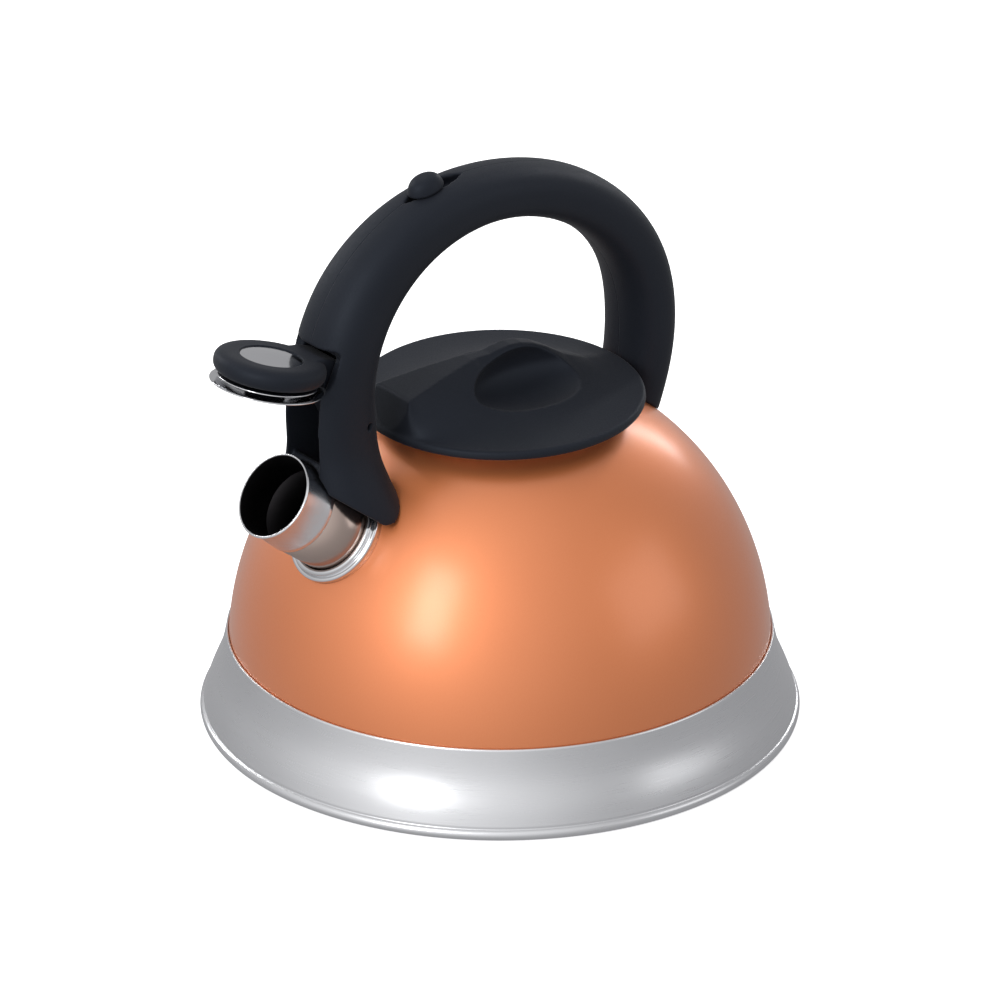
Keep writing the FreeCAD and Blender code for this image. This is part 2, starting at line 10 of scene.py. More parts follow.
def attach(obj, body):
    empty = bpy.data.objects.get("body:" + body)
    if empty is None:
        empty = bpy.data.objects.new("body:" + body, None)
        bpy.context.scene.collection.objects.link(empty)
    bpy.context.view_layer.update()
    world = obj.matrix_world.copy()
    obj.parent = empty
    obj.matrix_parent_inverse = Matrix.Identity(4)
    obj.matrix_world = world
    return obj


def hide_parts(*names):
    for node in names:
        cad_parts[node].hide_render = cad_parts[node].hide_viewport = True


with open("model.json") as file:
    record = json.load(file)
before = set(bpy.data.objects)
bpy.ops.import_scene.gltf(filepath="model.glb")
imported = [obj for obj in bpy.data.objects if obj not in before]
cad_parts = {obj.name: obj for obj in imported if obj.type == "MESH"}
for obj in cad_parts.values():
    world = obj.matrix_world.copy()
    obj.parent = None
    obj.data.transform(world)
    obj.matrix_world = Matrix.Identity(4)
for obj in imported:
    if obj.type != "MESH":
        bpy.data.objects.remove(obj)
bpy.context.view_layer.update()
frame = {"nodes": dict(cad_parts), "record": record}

# Stovetop whistling kettle. Lengths in this script are in millimetres until a mesh is made, which
# scales them to metres. The lights and the camera are placed in metres. The spout points towards -X,
# so "forward" below is the distance from the kettle's axis towards -X.

MM = 0.001

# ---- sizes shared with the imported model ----
DOME_RADIUS = 99.4
DOME_HEIGHT = 106.0
DOME_CENTRE_Z = 25.6
NECK_RADIUS = 43.2
SKIRT_TOP_Z = 32.3
BASE_RADIUS = 110.0
BEAD_TUBE = 2.2
SHEET = 0.8
SPOUT_TILT = 38.0
SPOUT_RADIUS = 16.3
SLEEVE_LENGTH = 14.8
MOUTH = (103.2, 116.1)
SPOUT_LENGTH = 35.1
COLLAR_RADIUS = 20.4
LID_RADIUS = 53.0
LID_RIM_Z = 124.5
FLAP_PIVOT = (70.6, 139.2)
FLAP_CENTRE = (105.8, 160.3)
FLAP_NORMAL = 102.5
FLAP_RADIUS = 20.8
KNOB_SEAT = (33.7, 217.2)
KNOB_TILT = 77.0


# ---- geometry helpers ----
def at(forward, up, side=0.0):
    return np.array([-forward, side, up])


def direction(degrees):
    angle = math.radians(degrees)
    return np.array([-math.cos(angle), 0.0, math.sin(angle)])


def make_object(name, points, faces):
    mesh = bpy.data.meshes.new(name)
    mesh.from_pydata([tuple(float(c) * MM for c in p) for p in points], [], faces)
    mesh.validate()
    piece = bpy.data.objects.new(name, mesh)
    bpy.context.scene.collection.objects.link(piece)
    return piece


def set_smooth(piece):
    for polygon in piece.data.polygons:
        polygon.use_smooth = True


def apply_modifiers(piece):
    graph = bpy.context.evaluated_depsgraph_get()
    mesh = bpy.data.meshes.new_from_object(piece.evaluated_get(graph))
    old = piece.data
    piece.modifiers.clear()
    piece.data = mesh
    bpy.data.meshes.remove(old)


def remove(piece):
    mesh = piece.data
    bpy.data.objects.remove(piece)
    bpy.data.meshes.remove(mesh)


def combine(piece, other, operation):
    """Boolean of two closed pieces. The second one is used up."""
    modifier = piece.modifiers.new("combine", "BOOLEAN")
    modifier.operation = operation
    modifier.solver = "MANIFOLD"
    modifier.object = other
    apply_modifiers(piece)
    remove(other)


def cut(piece, *cutters):
    for cutter in cutters:
        combine(piece, cutter, "DIFFERENCE")


def soften(piece, voxel, rounds, factor=0.5):
    """Remesh a closed piece finely, then smooth it, which rounds its edges like a moulding's."""
    remesh = piece.modifiers.new("remesh", "REMESH")
    remesh.mode = "VOXEL"
    remesh.voxel_size = voxel * MM
    smooth = piece.modifiers.new("smooth", "SMOOTH")
    smooth.factor = factor
    smooth.iterations = rounds
    apply_modifiers(piece)
    set_smooth(piece)


def placed(piece, centre, degrees):
    """Stand a piece made about Z on a centre in the handle's plane, its Z turned to a direction."""
    turn = Matrix.Rotation(math.radians(degrees - 90), 4, "Y")
    shift = Matrix.Translation(Vector(at(*centre)) * MM)
    piece.data.transform(shift @ turn)
    return piece


def on_spout(piece, distance=0.0):
    placed(piece, MOUTH, SPOUT_TILT)
    piece.data.transform(Matrix.Translation(Vector(direction(SPOUT_TILT)) * distance * MM))
    return piece


def on_flap(piece):
    return placed(piece, FLAP_CENTRE, FLAP_NORMAL)


def ring_faces(rings, around):
    """Faces between closed rings of points that are listed ring after ring."""
    faces = []
    for i in range(rings - 1):
        for k in range(around):
            m = (k + 1) % around
            faces.append((i * around + k, i * around + m, (i + 1) * around + m, (i + 1) * around + k))
    return faces


def lathe(name, profile, segments=192):
    """A surface of revolution about Z from a closed profile of radius and height."""
    points = []
    faces = []
    rows = len(profile)
    for i in range(segments):
        angle = 2 * math.pi * i / segments
        for radius, height in profile:
            points.append((radius * math.cos(angle), radius * math.sin(angle), height))
    for i in range(segments):
        j = (i + 1) % segments
        for k in range(rows):
            m = (k + 1) % rows
            faces.append((i * rows + k, j * rows + k, j * rows + m, i * rows + m))
    piece = make_object(name, points, faces)
    tidy(piece)
    return piece


def tidy(piece):
    """Merge doubled points, drop faces that closed up, and turn all faces outwards."""
    mesh = bmesh.new()
    mesh.from_mesh(piece.data)
    bmesh.ops.remove_doubles(mesh, verts=mesh.verts, dist=1e-7)
    bmesh.ops.dissolve_degenerate(mesh, edges=mesh.edges, dist=1e-8)
    bmesh.ops.recalc_face_normals(mesh, faces=mesh.faces)
    mesh.to_mesh(piece.data)
    mesh.free()
    set_smooth(piece)


def solid_disc(name, radius, low, high, segments=128):
    return lathe(name, [(0, low), (radius, low), (radius, high), (0, high)], segments)


def prism(name, low_ring, high_ring):
    """A closed piece between two rings with the same number of points."""
    count = len(low_ring)
    faces = [tuple(range(count)), tuple(range(2 * count - 1, count - 1, -1))]
    for i in range(count):
        j = (i + 1) % count
        faces.append((i, i + count, j + count, j))
    piece = make_object(name, low_ring + high_ring, faces)
    tidy(piece)
    return piece


def plate(name, outline, low, high):
    """A plate from an outline of forward and up, between two places along Y."""
    return prism(name, [at(f, u, low) for f, u in outline], [at(f, u, high) for f, u in outline])


def cross_cylinder(name, centre, radius, low, high):
    piece = solid_disc(name, radius, low, high, 64)
    piece.data.transform(Matrix.Rotation(math.radians(-90), 4, "X"))
    piece.data.transform(Matrix.Translation(Vector(at(*centre)) * MM))
    return piece


def box_piece(name, low, high):
    points = [(x, y, z) for x in (low[0], high[0]) for y in (low[1], high[1]) for z in (low[2], high[2])]
    faces = [(0, 1, 3, 2), (4, 6, 7, 5), (0, 4, 5, 1), (2, 3, 7, 6), (0, 2, 6, 4), (1, 5, 7, 3)]
    piece = make_object(name, points, faces)
    tidy(piece)
    return piece


def arc(centre, radius, start, end, count):
    """Points of an arc of radius and height, angles in degrees."""
    angles = [math.radians(start + (end - start) * i / count) for i in range(count + 1)]
    return [(centre[0] + radius * math.cos(a), centre[1] + radius * math.sin(a)) for a in angles]


def spline(stations, values, places):
    """A natural cubic spline through values at the stations, read at the places."""
    x = np.asarray(stations, float)
    y = np.asarray(values, float).reshape(len(x), -1)
    gaps = np.diff(x)
    count = len(x)
    matrix = np.eye(count)
    right = np.zeros_like(y)
    for i in range(1, count - 1):
        matrix[i, i - 1] = gaps[i - 1]
        matrix[i, i] = 2 * (gaps[i - 1] + gaps[i])
        matrix[i, i + 1] = gaps[i]
        right[i] = 6 * ((y[i + 1] - y[i]) / gaps[i] - (y[i] - y[i - 1]) / gaps[i - 1])
    bend = np.linalg.solve(matrix, right)
    result = []
    for place in np.atleast_1d(places):
        i = int(np.clip(np.searchsorted(x, place) - 1, 0, count - 2))
        a = (x[i + 1] - place) / gaps[i]
        b = (place - x[i]) / gaps[i]
        curve = (a ** 3 - a) * bend[i] + (b ** 3 - b) * bend[i + 1]
        result.append(a * y[i] + b * y[i + 1] + curve * gaps[i] ** 2 / 6)
    return np.array(result)


def smooth_profile(corners, count):
    """Points along a smooth curve through a few points of radius and height."""
    corners = np.asarray(corners, float)
    lengths = np.concatenate([[0], np.cumsum(np.linalg.norm(np.diff(corners, axis=0), axis=1))])
    return [tuple(p) for p in spline(lengths, corners, np.linspace(0, lengths[-1], count))]


# ---- materials ----
def new_material(name):
    material = bpy.data.materials.new(name)
    material.use_nodes = True
    nodes = material.node_tree.nodes
    shader = next(n for n in nodes if n.type == "BSDF_PRINCIPLED")
    return material, material.node_tree, shader


def noise(tree, scale, detail, stretch=(1, 1, 1)):
    """Noise in object space, optionally stretched along the axes."""
    place = tree.nodes.new("ShaderNodeTexCoord")
    mapping = tree.nodes.new("ShaderNodeMapping")
    mapping.inputs["Scale"].default_value = stretch
    texture = tree.nodes.new("ShaderNodeTexNoise")
    texture.inputs["Scale"].default_value = scale
    texture.inputs["Detail"].default_value = detail
    tree.links.new(place.outputs["Object"], mapping.inputs["Vector"])
    tree.links.new(mapping.outputs["Vector"], texture.inputs["Vector"])
    return texture.outputs["Fac"]


def remap(tree, value, low, high, start=0.3, end=0.7):
    node = tree.nodes.new("ShaderNodeMapRange")
    node.inputs["From Min"].default_value = start
    node.inputs["From Max"].default_value = end
    node.inputs["To Min"].default_value = low
    node.inputs["To Max"].default_value = high
    tree.links.new(value, node.inputs["Value"])
    return node.outputs["Result"]


def ramp(tree, value, stops):
    node = tree.nodes.new("ShaderNodeValToRGB")
    elements = node.color_ramp.elements
    while len(elements) < len(stops):
        elements.new(0.5)
    for element, (position, colour) in zip(elements, stops):
        element.position = position
        element.color = (*colour, 1)
    tree.links.new(value, node.inputs["Fac"])
    return node.outputs["Color"]


def bump(tree, shader, height, distance, strength):
    node = tree.nodes.new("ShaderNodeBump")
    node.inputs["Distance"].default_value = distance
    node.inputs["Strength"].default_value = strength
    tree.links.new(height, node.inputs["Height"])
    tree.links.new(node.outputs["Normal"], shader.inputs["Normal"])


def copper_lacquer():
    """Metallic copper paint under a clear, glossy coat, with a very fine vertical brushing."""
    material, tree, shader = new_material("copper_lacquer")
    cloud = noise(tree, 9.0, 3.0)
    colour = ramp(tree, cloud, [(0.30, (0.76, 0.240, 0.082)), (0.70, (0.81, 0.268, 0.098))])
    tree.links.new(colour, shader.inputs["Base Color"])
    flakes = noise(tree, 2600.0, 2.0, (1, 1, 0.35))
    tree.links.new(remap(tree, flakes, 0.44, 0.54), shader.inputs["Roughness"])
    shader.inputs["Metallic"].default_value = 0.86
    shader.inputs["Coat Weight"].default_value = 1.0
    shader.inputs["Coat Roughness"].default_value = 0.26
    shader.inputs["Coat IOR"].default_value = 1.56
    bump(tree, shader, flakes, 0.00002, 0.12)
    return material


def polished_steel(name, low, high, colour=(0.70, 0.705, 0.72)):
    """Steel polished on a wheel: faint rings round the axis, and a slightly uneven gloss."""
    material, tree, shader = new_material(name)
    cloud = noise(tree, 14.0, 3.0)
    dark = tuple(c * 0.94 for c in colour)
    tree.links.new(ramp(tree, cloud, [(0.3, dark), (0.7, colour)]), shader.inputs["Base Color"])
    rings = noise(tree, 60.0, 4.0, (1, 1, 60))
    tree.links.new(remap(tree, rings, low, high), shader.inputs["Roughness"])
    shader.inputs["Metallic"].default_value = 1.0
    bump(tree, shader, rings, 0.00001, 0.10)
    return material


def soft_black():
    """Black plastic with a soft-touch finish: a fine grain and a broad, weak sheen."""
    material, tree, shader = new_material("soft_black")
    cloud = noise(tree, 25.0, 4.0)
    colour = ramp(tree, cloud, [(0.3, (0.0062, 0.0074, 0.0112)), (0.7, (0.0080, 0.0094, 0.0140))])
    tree.links.new(colour, shader.inputs["Base Color"])
    grain = noise(tree, 2200.0, 3.0)
    tree.links.new(remap(tree, grain, 0.50, 0.62), shader.inputs["Roughness"])
    shader.inputs["Specular IOR Level"].default_value = 0.26
    shader.inputs["Specular Tint"].default_value = (0.74, 0.84, 1.0, 1.0)
    shader.inputs["Sheen Weight"].default_value = 0.03
    shader.inputs["Sheen Roughness"].default_value = 0.5
    bump(tree, shader, grain, 0.00004, 0.35)
    return material


def plain_metal(name, colour, roughness):
    """Unpolished metal of the pieces that are out of sight."""
    material, tree, shader = new_material(name)
    cloud = noise(tree, 30.0, 3.0)
    dark = tuple(c * 0.9 for c in colour)
    tree.links.new(ramp(tree, cloud, [(0.3, dark), (0.7, colour)]), shader.inputs["Base Color"])
    grain = noise(tree, 900.0, 2.0)
    tree.links.new(remap(tree, grain, roughness, roughness + 0.1), shader.inputs["Roughness"])
    shader.inputs["Metallic"].default_value = 1.0
    bump(tree, shader, grain, 0.00001, 0.2)
    return material


def silicone():
    material, tree, shader = new_material("silicone")
    grain = noise(tree, 400.0, 2.0)
    tree.links.new(ramp(tree, grain, [(0.3, (0.62, 0.62, 0.60)), (0.7, (0.70, 0.70, 0.68))]),
                   shader.inputs["Base Color"])
    tree.links.new(remap(tree, grain, 0.5, 0.65), shader.inputs["Roughness"])
    bump(tree, shader, grain, 0.00003, 0.3)
    return material


MATERIALS = {
    "copper_lacquer": copper_lacquer(),
    "polished_steel": polished_steel("polished_steel", 0.26, 0.36),
    "bright_steel": polished_steel("bright_steel", 0.08, 0.16),
    # Satin steel for the spout tube. Its brown tint is a painted reflection of the copper dome.
    "satin_steel_painted_copper_reflection": polished_steel("satin_steel_painted_copper_reflection", 0.18, 0.26, (0.44, 0.35, 0.31)),
    "sleeve_steel": polished_steel("sleeve_steel", 0.16, 0.24, (0.78, 0.785, 0.80)),
    # Near-black steel for the inside of the spout: painted shade in the bore.
    "painted_bore_shade_steel": polished_steel("painted_bore_shade_steel", 0.45, 0.60, (0.030, 0.028, 0.030)),
    "plain_steel": plain_metal("plain_steel", (0.50, 0.50, 0.51), 0.32),
    "aluminium": plain_metal("aluminium", (0.66, 0.66, 0.68), 0.40),
    "soft_black": soft_black(),
    "silicone": silicone(),
}


def finish_piece(piece, material, body, slot, *nodes):
    """Give a piece its material and the body it moves with, and hide the nodes it stands for. The slot is not
    used.
    """
    piece.data.materials.clear()
    piece.data.materials.append(MATERIALS[material])
    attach(piece, body)
    if nodes:
        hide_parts(*nodes)


# ---- body ----
DOME_TUCK = 6.0
SKIRT_LINE = [(102.9, 20.5), (106.9, 10.5), (108.6, 5.0)]


def dome_profile(shrink, low, neck, count):
    """The dome's wall line from its lower edge up to the filler opening."""
    a = DOME_RADIUS - shrink
    c = DOME_HEIGHT - shrink
    end = math.acos(neck / a)
    points = [(a, low)]
    for i in range(count + 1):
        angle = end * i / count
        points.append((a * math.cos(angle), DOME_CENTRE_Z + c * math.sin(angle)))
    return points


def dome_core(shrink):
    """A solid inside the dome's wall line, which trims the pieces that stand on the dome."""
    profile = [(0, 0)] + dome_profile(shrink, 0, 0.01, 96) + [(0, DOME_CENTRE_Z + DOME_HEIGHT)]
    return lathe("dome_core", profile, 256)


def make_dome():
    outer = dome_profile(0, SKIRT_TOP_Z - DOME_TUCK, NECK_RADIUS, 96)
    inner = dome_profile(SHEET, SKIRT_TOP_Z - DOME_TUCK, NECK_RADIUS, 48)
    dome = lathe("dome", outer + inner[::-1], 384)
    bore = solid_disc("bore", SPOUT_RADIUS, -80, 20)
    cut(dome, on_spout(bore))
    set_smooth(dome)
    finish_piece(dome, "copper_lacquer", "kettle", "copper_lacquer", "body_shell")


def make_skirt():
    outer = smooth_profile([(DOME_RADIUS + SHEET, SKIRT_TOP_Z)] + SKIRT_LINE, 40)
    inner = [(r - SHEET, z) for r, z in outer]
    edge = [(DOME_RADIUS + 0.25, SKIRT_TOP_Z + 0.12), (DOME_RADIUS + 0.6, SKIRT_TOP_Z + 0.1)]
    bead = arc((BASE_RADIUS - BEAD_TUBE, BEAD_TUBE + 0.1), BEAD_TUBE, 72, -240, 40)
    skirt = lathe("skirt", edge + outer + bead + inner[::-1], 384)
    finish_piece(skirt, "polished_steel", "kettle", "polished_steel", "base_skirt")


SPOUT_TUCK = 4.0
RIM_TUBE = 0.5
RIM_INSET = 0.55
TUBE_INSET = 0.25
COLLAR_DEPTH = 4.0


def paint_bore_shade(piece):
    """Give the faces that look towards the spout's axis a near-black steel, which is painted shade inside the
    tube.
    """
    piece.data.materials.append(MATERIALS["painted_bore_shade_steel"])
    axis = Vector(direction(SPOUT_TILT))
    mouth = Vector(at(*MOUTH)) * MM
    for polygon in piece.data.polygons:
        offset = polygon.center - mouth
        outward = offset - axis * offset.dot(axis)
        if polygon.normal.dot(outward.normalized()) < -0.5:
            polygon.material_index = 1


def make_spout():
    """The satin tube, and the polished sleeve round its end, which narrows a little towards the rim."""
    length = SPOUT_LENGTH + SPOUT_TUCK
    rim = SPOUT_RADIUS - RIM_INSET
    inner = rim - RIM_TUBE
    neck = SPOUT_RADIUS - TUBE_INSET
    rear = [(SPOUT_RADIUS, -length), (SPOUT_RADIUS, -SPOUT_LENGTH - 1), (neck, -SPOUT_LENGTH + 3)]
    rear += [(neck, -SLEEVE_LENGTH + 1), (inner, -SLEEVE_LENGTH + 1), (inner, -length)]
    tube = on_spout(lathe("spout", rear, 160))
    # The tube's brownish steel colour is partly a painted reflection of the copper dome.
    finish_piece(tube, "satin_steel_painted_copper_reflection", "kettle", "polished_steel", "spout_tube")
    paint_bore_shade(tube)
    front = [(inner - 0.02, -SLEEVE_LENGTH), (SPOUT_RADIUS - 0.05, -SLEEVE_LENGTH)]
    front += [(SPOUT_RADIUS, -SLEEVE_LENGTH + 0.3), (SPOUT_RADIUS - 0.1, -SLEEVE_LENGTH + 2)]
    front += [(SPOUT_RADIUS - 1.05, -1.8), (SPOUT_RADIUS - 0.85, -1.0)]
    front += arc((rim, -RIM_TUBE), RIM_TUBE, -40, 180, 14)
    sleeve = on_spout(lathe("spout_sleeve", front, 160))
    finish_piece(sleeve, "sleeve_steel", "kettle", "polished_steel", "spout_tube")
    paint_bore_shade(sleeve)


def make_collar():
    """The flange at the spout's root: an outer ring, a groove and a taller ring against the tube."""
    outer_ring = 0.9
    inner_ring = 1.1
    profile = [(SPOUT_RADIUS, -COLLAR_DEPTH), (COLLAR_RADIUS, -COLLAR_DEPTH), (COLLAR_RADIUS, 0.0)]
    profile += arc((COLLAR_RADIUS - outer_ring, 0.0), outer_ring, 20, 160, 10)
    profile += [(COLLAR_RADIUS - 2.0, 0.05)]
    profile += arc((SPOUT_RADIUS + inner_ring + 0.05, 1.5), inner_ring, 0, 180, 10)
    collar = on_spout(lathe("collar", profile, 160), -SPOUT_LENGTH)
    cut(collar, dome_core(0.15))
    set_smooth(collar)
    finish_piece(collar, "bright_steel", "kettle", "polished_steel", "spout_collar")


# ---- handle ----
# The front leg's slot, the flap's room and the saddle are cut from one swept bar.
# Stations from the front foot over the top to the rear foot: inner point, outer point, full width.
HANDLE_STATIONS = [
    ((50.0, 96.0), (79.0, 84.0), 50.0),
    ((54.5, 107.0), (87.6, 102.5), 47.0),
    ((58.4, 117.0), (91.4, 117.5), 39.4),
    ((60.8, 126.0), (91.4, 128.0), 33.4),
    ((61.8, 136.0), (92.2, 139.5), 31.4),
    ((62.4, 152.0), (89.4, 160.5), 31.2),
    ((55.6, 173.0), (77.5, 189.0), 30.0),
    ((37.2, 191.0), (49.4, 212.2), 27.5),
    ((12.5, 198.4), (14.6, 219.2), 25.6),
    ((-12.2, 194.9), (-19.4, 213.6), 26.0),
    ((-35.2, 182.0), (-49.2, 197.4), 28.0),
    ((-51.0, 160.6), (-70.0, 168.6), 30.0),
    ((-55.0, 140.0), (-74.6, 141.0), 30.6),
    ((-53.8, 122.0), (-71.5, 119.0), 29.5),
    ((-48.0, 102.0), (-64.0, 96.0), 27.0),
]
SECTION_POWER = 2.4
HANDLE_REACH = 30.0
SADDLE_HEIGHT = 9.8
TOE_CORNER = (67.0, 100.0)
TOE_ROUND = 7.0
SADDLE_HALF = 40.0
SLOT_HALF = 9.25
SLOT_TOP_Z = 168.0
SLOT_FLOOR = 1.8
SLOT_BACK = 64.6
FLAP_ROOM_RADIUS = 23.4
FLAP_ROOM_HALF = 12.5
FLAP_ROOM_RISE = 2.6
KNOB_SLOT_HALF_LENGTH = 13.2
KNOB_SLOT_HALF_WIDTH = 3.6
KNOB_SLOT_SHIFT = 2.9
LID_ROOM = [(0, 100), (53.6, 100), (53.6, 151.1), (39.6, 169.1), (0, 169.1)]
PARTING_HALF = 0.07
PIN_HOLE_RADIUS = 1.55
COUNTERBORE_RADIUS = 3.0
COUNTERBORE_FLOOR = 8.0
HANDLE_SCREWS = [(64.25, 191.12), (-15.8, 203.6), (-61.0, 157.0)]


def swept_handle():
    """The whole bar before it is cut: squarish ovals swept along the stations."""
    middles = [(at(*i) + at(*o)) / 2 for i, o, _ in HANDLE_STATIONS]
    lengths = [0.0]
    for before, after in zip(middles, middles[1:]):
        lengths.append(lengths[-1] + float(np.linalg.norm(after - before)))
    places = np.linspace(0, lengths[-1], 150)
    inner = spline(lengths, [at(*s[0]) for s in HANDLE_STATIONS], places)
    outer = spline(lengths, [at(*s[1]) for s in HANDLE_STATIONS], places)
    widths = spline(lengths, [s[2] for s in HANDLE_STATIONS], places)
    around = 72
    points = []
    for low, high, width in zip(inner, outer, widths):
        for k in range(around):
            angle = 2 * math.pi * k / around
            c = math.cos(angle)
            s = math.sin(angle)
            a = math.copysign(abs(c) ** (2 / SECTION_POWER), c)
            b = math.copysign(abs(s) ** (2 / SECTION_POWER), s)
            points.append((low + high) / 2 + (high - low) / 2 * a + np.array([0, width[0] / 2 * b, 0]))
    rows = len(places)
    faces = ring_faces(rows, around)
    faces.append(tuple(range(around)))
    faces.append(tuple(range(rows * around - 1, (rows - 1) * around - 1, -1)))
    piece = make_object("handle", points, faces)
    tidy(piece)
    return piece


def slot_cutter():
    """The front leg's slot, open towards the spout, with its floor along the spout's top."""
    along = direction(SPOUT_TILT)
    rise = np.array([along[2], 0, -along[0]])
    start = at(*MOUTH) + rise * (SPOUT_RADIUS + SLOT_FLOOR)
    front = start + along * 30
    meet = start - along * ((-start[0] - SLOT_BACK) / math.cos(math.radians(SPOUT_TILT)))
    outline = [(-meet[0], meet[2]), (-front[0], front[2])]
    outline += [(130, SLOT_TOP_Z), (74, SLOT_TOP_Z), (SLOT_BACK, 152)]
    return plate("slot", outline, -SLOT_HALF, SLOT_HALF)


def relief_cutter():
    """A wider room round the pin, in which the flap's cap swings down."""
    top = SLOT_TOP_Z + FLAP_ROOM_RISE
    outline = arc(FLAP_PIVOT, FLAP_ROOM_RADIUS, -28, 44, 24)
    outline += [(81.4, SLOT_TOP_Z), (82.4, top), (120, top), (120, 110)]
    return plate("relief", outline, -FLAP_ROOM_HALF, FLAP_ROOM_HALF)


def toe_cutter():
    """Rounds the corner where the front foot's saddle edge meets the dome."""
    tilt = math.radians(SPOUT_TILT)
    along = np.array([math.cos(tilt), math.sin(tilt)])
    rise = np.array([-along[1], along[0]])
    corner = np.array(TOE_CORNER)
    past = 8.0
    curve = arc(tuple(corner + TOE_ROUND * (along + rise)), TOE_ROUND, SPOUT_TILT + 180, SPOUT_TILT + 270, 16)
    beyond = [
        corner + TOE_ROUND * along - past * rise,
        corner - past * (along + rise),
        corner + TOE_ROUND * rise - past * along,
    ]
    return plate("toe", curve + [tuple(p) for p in beyond], -SADDLE_HALF, SADDLE_HALF)


def knob_slot_cutter():
    """The lens-shaped slot the thumb knob slides in: two arcs that meet in points."""
    tip = KNOB_SLOT_HALF_LENGTH
    half = KNOB_SLOT_HALF_WIDTH
    radius = (tip * tip + half * half) / (2 * half)
    sweep = math.degrees(math.asin(tip / radius))
    outline = arc((0, half - radius), radius, 90 - sweep, 90 + sweep, 16)
    outline += arc((0, radius - half), radius, 270 - sweep, 270 + sweep, 16)[1:-1]
    piece = prism("knob_slot", [(x, y, -5.0) for x, y in outline], [(x, y, 9.0) for x, y in outline])
    piece.data.transform(Matrix.Translation((KNOB_SLOT_SHIFT * MM, 0, 0)))
    return placed(piece, KNOB_SEAT, KNOB_TILT)


def make_handle():
    """The two mouldings: one bar cut to its final shape, then parted on the handle's plane."""
    handle = swept_handle()
    low = box_piece("low", (SADDLE_HEIGHT - 60, -SADDLE_HALF, -90), (SADDLE_HEIGHT, SADDLE_HALF, 10))
    floor_end = box_piece("floor_end", (0, -SLOT_HALF, -7), (20, SLOT_HALF, 23))
    root = -SPOUT_LENGTH
    dome = dome_core(-0.05)
    lid_room = lathe("lid_room", LID_ROOM, 192)
    cut(
        handle,
        slot_cutter(),
        relief_cutter(),
        toe_cutter(),
        knob_slot_cutter(),
        on_spout(solid_disc("core", SPOUT_RADIUS + 0.05, -60, 20)),
        on_spout(solid_disc("collar_room", COLLAR_RADIUS + 0.2, root - 5, root + 3)),
        on_spout(floor_end),
        on_spout(low),
        dome,
        lid_room,
    )
    keep_largest(handle)
    soften(handle, voxel=0.6, rounds=4)
    cut(handle, cross_cylinder("pin_hole", FLAP_PIVOT, PIN_HOLE_RADIUS, -HANDLE_REACH, HANDLE_REACH))
    for centre in HANDLE_SCREWS:
        bore = cross_cylinder("counterbore", centre, COUNTERBORE_RADIUS, COUNTERBORE_FLOOR, HANDLE_REACH)
        cut(handle, bore)
    walls = (
        ("handle_near", "handle_near_half", -PARTING_HALF, 60),
        ("handle_far", "handle_far_half", -60, PARTING_HALF),
    )
    for name, node, wall_low, wall_high in walls:
        half = handle.copy()
        half.data = handle.data.copy()
        half.name = name
        bpy.context.scene.collection.objects.link(half)
        cut(half, box_piece("wall", (-150, wall_low, 0), (150, wall_high, 300)))
        set_smooth(half)
        finish_piece(half, "soft_black", "kettle", "soft_black", node)
    remove(handle)


def keep_largest(piece):
    """Drop the loose offcuts of a boolean, keeping the part with most points."""
    mesh = bmesh.new()
    mesh.from_mesh(piece.data)
    mesh.verts.ensure_lookup_table()
    group = {}
    sizes = []
    for vert in mesh.verts:
        if vert.index in group:
            continue
        label = len(sizes)
        stack = [vert]
        group[vert.index] = label
        size = 0
        while stack:
            current = stack.pop()
            size += 1
            for edge in current.link_edges:
                other = edge.other_vert(current)
                if other.index not in group:
                    group[other.index] = label
                    stack.append(other)
        sizes.append(size)
    best = sizes.index(max(sizes))
    drop = [v for v in mesh.verts if group[v.index] != best]
    bmesh.ops.delete(mesh, geom=drop, context="VERTS")
    mesh.to_mesh(piece.data)
    mesh.free()


# ---- lid ----
# Height of the lid's crest in the handle's plane, from the rear rim to the front wall.
LID_CREST = [
    (-52.2, 127.9), (-46, 128.4), (-39, 130.0), (-28, 135.2), (-20, 140.4), (-14, 143.6), (-8, 145.6),
    (-3, 146.2), (2, 145.8), (6, 145.1), (10, 145.2), (15, 145.4), (30, 143.9), (48.3, 141.3),
    (49.2, 140.6), (50.6, 135.0), (51.6, 130.0), (52.2, 127.9),
]
# Half the width of the flat along the crest, by the same forward places.
LID_FACET = [(-52.2, 0.4), (-30, 2.0), (-5, 2.6), (12, 2.4), (48.3, 10.0), (52.2, 10.4)]
LID_EDGE_Z = 127.9
LID_TOP_RADIUS = 52.2
LID_SWEEP = 2.6
# Radius and height of the edges below the top surface, from the rim's side to the underside.
LID_RIM_STEPS = [
    (LID_RADIUS - 0.25, LID_RIM_Z + 2.6),
    (LID_RADIUS, LID_RIM_Z + 1.0),
    (LID_RADIUS - 0.5, LID_RIM_Z + 0.1),
    (LID_RADIUS - 1.4, LID_RIM_Z),
]


def read_line(line, place):
    """The value of a broken line of (place, value) points."""
    return float(np.interp(place, [p[0] for p in line], [p[1] for p in line]))


def facet_half(forward):
    """Half the width of the lid's flat top, which widens towards the spout."""
    edge = math.sqrt(max(LID_TOP_RADIUS ** 2 - forward ** 2, 0.0))
    return min(read_line(LID_FACET, forward), 0.7 * edge)


